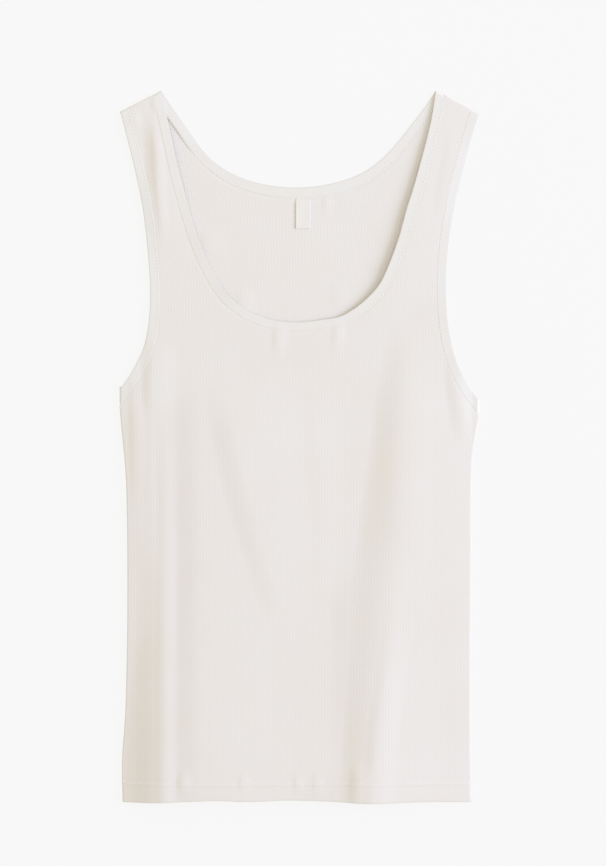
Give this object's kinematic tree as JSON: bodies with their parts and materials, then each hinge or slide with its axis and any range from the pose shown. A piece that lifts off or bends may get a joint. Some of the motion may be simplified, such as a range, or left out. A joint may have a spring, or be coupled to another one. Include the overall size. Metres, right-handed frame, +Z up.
{
  "type": "tank top",
  "caption": "Ribbed cotton tank top laid flat, with a deep scoop neck, bound neck and armholes, a turned hem and soft folds down the front.",
  "frame": {"origin": "middle of the flat underside, on the surface the garment lies on", "axes": "+X to the viewer's right, +Y from the hem to the neck, +Z up out of the surface"},
  "size_m": [0.3236, 0.6401, 0.0149],
  "materials": {
    "rib_knit": "fine cotton rib knit, matt, off-white",
    "rib_binding": "folded rib binding, matt, off-white",
    "label_tape": "bare woven tape, slight sheen"
  },
  "bodies": {
    "root": {"front": "rib_knit", "back": "rib_knit", "neck_band": "rib_binding", "armhole_band_left": "rib_binding", "armhole_band_right": "rib_binding", "label": "label_tape"}
  },
  "joints": []
}
